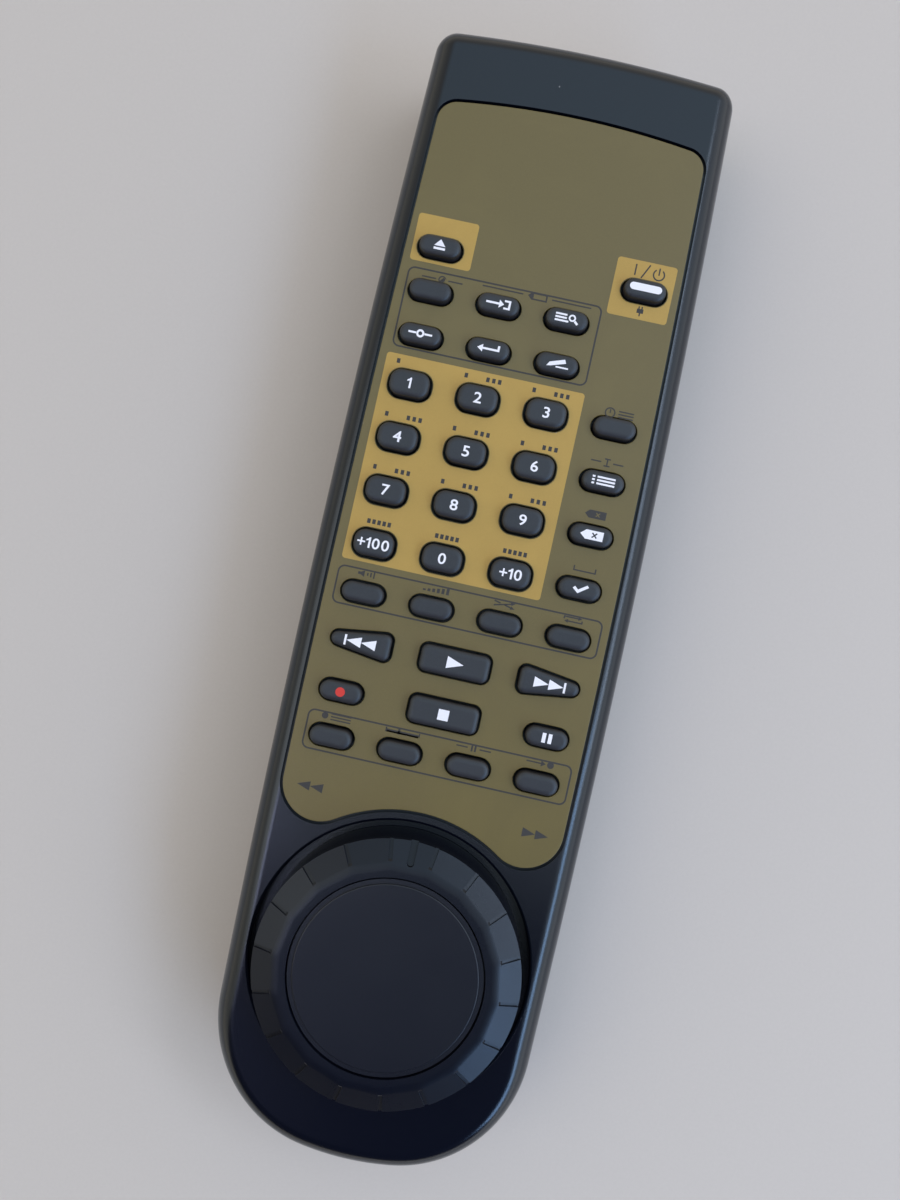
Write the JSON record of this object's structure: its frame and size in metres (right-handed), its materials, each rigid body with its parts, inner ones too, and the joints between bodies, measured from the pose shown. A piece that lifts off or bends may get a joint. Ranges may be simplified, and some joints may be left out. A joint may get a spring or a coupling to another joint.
{
  "type": "disc deck remote control",
  "caption": "Long remote control handset with rounded tail: rows of small keys on an olive-gold plate and a large spring-centred shuttle dial below them.",
  "frame": {"origin": "centre of the footprint on the surface that the handset lies on", "axes": "+Y towards the infrared end, +X to the right of the key field, +Z out of the key face"},
  "size_m": [0.0612, 0.2108, 0.0318],
  "materials": {
    "case_plastic": "fine spark-eroded texture, dark blue-grey",
    "fascia_paint": "satin olive-gold paint with printed blocks and frames",
    "key_rubber": "matte dark grey with white prints",
    "dial_plastic": "fine matte texture",
    "window_plastic": "dark infrared-clear plastic",
    "board_laminate": "green laminate",
    "mat_rubber": "soft grey rubber",
    "led_resin": "tinted clear resin",
    "chip_resin": "moulded black resin",
    "spring_steel": "nickel-plated",
    "screw_steel": "zinc-plated",
    "cell_wrap": "plain printed sleeve",
    "switch_plastic": "moulded body"
  },
  "bodies": {
    "case": {"battery_cell_left": "cell_wrap", "battery_cell_right": "cell_wrap", "bottom_case": "case_plastic", "case_screw_head": "screw_steel", "case_screw_left": "screw_steel", "case_screw_right": "screw_steel", "circuit_board": "board_laminate", "contact_plate_left": "spring_steel", "contact_plate_right": "spring_steel", "contact_spring_left": "spring_steel", "contact_spring_right": "spring_steel", "controller_chip": "chip_resin", "fascia_plate": "fascia_paint", "ir_led": "led_resin", "ir_window": "window_plastic", "key_mat": "mat_rubber", "return_spring": "spring_steel", "shuttle_switch": "switch_plastic", "top_case": "case_plastic"},
    "eject_key_body": {"eject_key": "key_rubber"},
    "power_key_body": {"power_key": "key_rubber"},
    "cancel_key_body": {"cancel_key": "key_rubber"},
    "input_key_body": {"input_key": "key_rubber"},
    "search_key_body": {"search_key": "key_rubber"},
    "set_key_body": {"set_key": "key_rubber"},
    "enter_key_body": {"enter_key": "key_rubber"},
    "edit_key_body": {"edit_key": "key_rubber"},
    "time_key_body": {"time_key": "key_rubber"},
    "program_key_body": {"program_key": "key_rubber"},
    "clear_key_body": {"clear_key": "key_rubber"},
    "check_key_body": {"check_key": "key_rubber"},
    "monitor_key_body": {"monitor_key": "key_rubber"},
    "meter_key_body": {"meter_key": "key_rubber"},
    "random_key_body": {"random_key": "key_rubber"},
    "repeat_key_body": {"repeat_key": "key_rubber"},
    "record_key_body": {"record_key": "key_rubber"},
    "pause_key_body": {"pause_key": "key_rubber"},
    "record_mode_key_body": {"record_mode_key": "key_rubber"},
    "level_mode_key_body": {"level_mode_key": "key_rubber"},
    "auto_pause_key_body": {"auto_pause_key": "key_rubber"},
    "record_input_key_body": {"record_input_key": "key_rubber"},
    "number_0_key_body": {"number_0_key": "key_rubber"},
    "number_1_key_body": {"number_1_key": "key_rubber"},
    "number_2_key_body": {"number_2_key": "key_rubber"},
    "number_3_key_body": {"number_3_key": "key_rubber"},
    "number_4_key_body": {"number_4_key": "key_rubber"},
    "number_5_key_body": {"number_5_key": "key_rubber"},
    "number_6_key_body": {"number_6_key": "key_rubber"},
    "number_7_key_body": {"number_7_key": "key_rubber"},
    "number_8_key_body": {"number_8_key": "key_rubber"},
    "number_9_key_body": {"number_9_key": "key_rubber"},
    "number_plus_10_key_body": {"number_plus_10_key": "key_rubber"},
    "number_plus_100_key_body": {"number_plus_100_key": "key_rubber"},
    "play_key_body": {"play_key": "key_rubber"},
    "stop_key_body": {"stop_key": "key_rubber"},
    "skip_back_key_body": {"skip_back_key": "key_rubber"},
    "skip_forward_key_body": {"skip_forward_key": "key_rubber"},
    "shuttle_dial": {"shuttle_ring": "dial_plastic", "shuttle_cap": "dial_plastic"},
    "door": {"battery_door": "case_plastic"}
  },
  "joints": [
    {"name": "eject_key_press", "type": "slide", "parent": "case", "child": "eject_key_body", "axis": [0, 0, -1], "range_m": [0, 0.001], "stiffness_N_per_m": 700},
    {"name": "power_key_press", "type": "slide", "parent": "case", "child": "power_key_body", "axis": [0, 0, -1], "range_m": [0, 0.001], "stiffness_N_per_m": 700},
    {"name": "cancel_key_press", "type": "slide", "parent": "case", "child": "cancel_key_body", "axis": [0, 0, -1], "range_m": [0, 0.001], "stiffness_N_per_m": 700},
    {"name": "input_key_press", "type": "slide", "parent": "case", "child": "input_key_body", "axis": [0, 0, -1], "range_m": [0, 0.001], "stiffness_N_per_m": 700},
    {"name": "search_key_press", "type": "slide", "parent": "case", "child": "search_key_body", "axis": [0, 0, -1], "range_m": [0, 0.001], "stiffness_N_per_m": 700},
    {"name": "set_key_press", "type": "slide", "parent": "case", "child": "set_key_body", "axis": [0, 0, -1], "range_m": [0, 0.001], "stiffness_N_per_m": 700},
    {"name": "enter_key_press", "type": "slide", "parent": "case", "child": "enter_key_body", "axis": [0, 0, -1], "range_m": [0, 0.001], "stiffness_N_per_m": 700},
    {"name": "edit_key_press", "type": "slide", "parent": "case", "child": "edit_key_body", "axis": [0, 0, -1], "range_m": [0, 0.001], "stiffness_N_per_m": 700},
    {"name": "time_key_press", "type": "slide", "parent": "case", "child": "time_key_body", "axis": [0, 0, -1], "range_m": [0, 0.001], "stiffness_N_per_m": 700},
    {"name": "program_key_press", "type": "slide", "parent": "case", "child": "program_key_body", "axis": [0, 0, -1], "range_m": [0, 0.001], "stiffness_N_per_m": 700},
    {"name": "clear_key_press", "type": "slide", "parent": "case", "child": "clear_key_body", "axis": [0, 0, -1], "range_m": [0, 0.001], "stiffness_N_per_m": 700},
    {"name": "check_key_press", "type": "slide", "parent": "case", "child": "check_key_body", "axis": [0, 0, -1], "range_m": [0, 0.001], "stiffness_N_per_m": 700},
    {"name": "monitor_key_press", "type": "slide", "parent": "case", "child": "monitor_key_body", "axis": [0, 0, -1], "range_m": [0, 0.001], "stiffness_N_per_m": 700},
    {"name": "meter_key_press", "type": "slide", "parent": "case", "child": "meter_key_body", "axis": [0, 0, -1], "range_m": [0, 0.001], "stiffness_N_per_m": 700},
    {"name": "random_key_press", "type": "slide", "parent": "case", "child": "random_key_body", "axis": [0, 0, -1], "range_m": [0, 0.001], "stiffness_N_per_m": 700},
    {"name": "repeat_key_press", "type": "slide", "parent": "case", "child": "repeat_key_body", "axis": [0, 0, -1], "range_m": [0, 0.001], "stiffness_N_per_m": 700},
    {"name": "record_key_press", "type": "slide", "parent": "case", "child": "record_key_body", "axis": [0, 0, -1], "range_m": [0, 0.001], "stiffness_N_per_m": 700},
    {"name": "pause_key_press", "type": "slide", "parent": "case", "child": "pause_key_body", "axis": [0, 0, -1], "range_m": [0, 0.001], "stiffness_N_per_m": 700},
    {"name": "record_mode_key_press", "type": "slide", "parent": "case", "child": "record_mode_key_body", "axis": [0, 0, -1], "range_m": [0, 0.001], "stiffness_N_per_m": 700},
    {"name": "level_mode_key_press", "type": "slide", "parent": "case", "child": "level_mode_key_body", "axis": [0, 0, -1], "range_m": [0, 0.001], "stiffness_N_per_m": 700},
    {"name": "auto_pause_key_press", "type": "slide", "parent": "case", "child": "auto_pause_key_body", "axis": [0, 0, -1], "range_m": [0, 0.001], "stiffness_N_per_m": 700},
    {"name": "record_input_key_press", "type": "slide", "parent": "case", "child": "record_input_key_body", "axis": [0, 0, -1], "range_m": [0, 0.001], "stiffness_N_per_m": 700},
    {"name": "number_0_key_press", "type": "slide", "parent": "case", "child": "number_0_key_body", "axis": [0, 0, -1], "range_m": [0, 0.001], "stiffness_N_per_m": 700},
    {"name": "number_1_key_press", "type": "slide", "parent": "case", "child": "number_1_key_body", "axis": [0, 0, -1], "range_m": [0, 0.001], "stiffness_N_per_m": 700},
    {"name": "number_2_key_press", "type": "slide", "parent": "case", "child": "number_2_key_body", "axis": [0, 0, -1], "range_m": [0, 0.001], "stiffness_N_per_m": 700},
    {"name": "number_3_key_press", "type": "slide", "parent": "case", "child": "number_3_key_body", "axis": [0, 0, -1], "range_m": [0, 0.001], "stiffness_N_per_m": 700},
    {"name": "number_4_key_press", "type": "slide", "parent": "case", "child": "number_4_key_body", "axis": [0, 0, -1], "range_m": [0, 0.001], "stiffness_N_per_m": 700},
    {"name": "number_5_key_press", "type": "slide", "parent": "case", "child": "number_5_key_body", "axis": [0, 0, -1], "range_m": [0, 0.001], "stiffness_N_per_m": 700},
    {"name": "number_6_key_press", "type": "slide", "parent": "case", "child": "number_6_key_body", "axis": [0, 0, -1], "range_m": [0, 0.001], "stiffness_N_per_m": 700},
    {"name": "number_7_key_press", "type": "slide", "parent": "case", "child": "number_7_key_body", "axis": [0, 0, -1], "range_m": [0, 0.001], "stiffness_N_per_m": 700},
    {"name": "number_8_key_press", "type": "slide", "parent": "case", "child": "number_8_key_body", "axis": [0, 0, -1], "range_m": [0, 0.001], "stiffness_N_per_m": 700},
    {"name": "number_9_key_press", "type": "slide", "parent": "case", "child": "number_9_key_body", "axis": [0, 0, -1], "range_m": [0, 0.001], "stiffness_N_per_m": 700},
    {"name": "number_plus_10_key_press", "type": "slide", "parent": "case", "child": "number_plus_10_key_body", "axis": [0, 0, -1], "range_m": [0, 0.001], "stiffness_N_per_m": 700},
    {"name": "number_plus_100_key_press", "type": "slide", "parent": "case", "child": "number_plus_100_key_body", "axis": [0, 0, -1], "range_m": [0, 0.001], "stiffness_N_per_m": 700},
    {"name": "play_key_press", "type": "slide", "parent": "case", "child": "play_key_body", "axis": [0, 0, -1], "range_m": [0, 0.001], "stiffness_N_per_m": 700},
    {"name": "stop_key_press", "type": "slide", "parent": "case", "child": "stop_key_body", "axis": [0, 0, -1], "range_m": [0, 0.001], "stiffness_N_per_m": 700},
    {"name": "skip_back_key_press", "type": "slide", "parent": "case", "child": "skip_back_key_body", "axis": [0, 0, -1], "range_m": [0, 0.001], "stiffness_N_per_m": 700},
    {"name": "skip_forward_key_press", "type": "slide", "parent": "case", "child": "skip_forward_key_body", "axis": [0, 0, -1], "range_m": [0, 0.001], "stiffness_N_per_m": 700},
    {"name": "shuttle_turn", "type": "hinge", "parent": "case", "child": "shuttle_dial", "pos_m": [0, -0.06689, 0.0255], "axis": [0, 0, 1], "range_deg": [-35, 35], "stiffness_Nm_per_rad": 0.05},
    {"name": "battery_door_slide", "type": "slide", "parent": "case", "child": "door", "axis": [0, -1, 0], "range_m": [0, 0.07]}
  ]
}
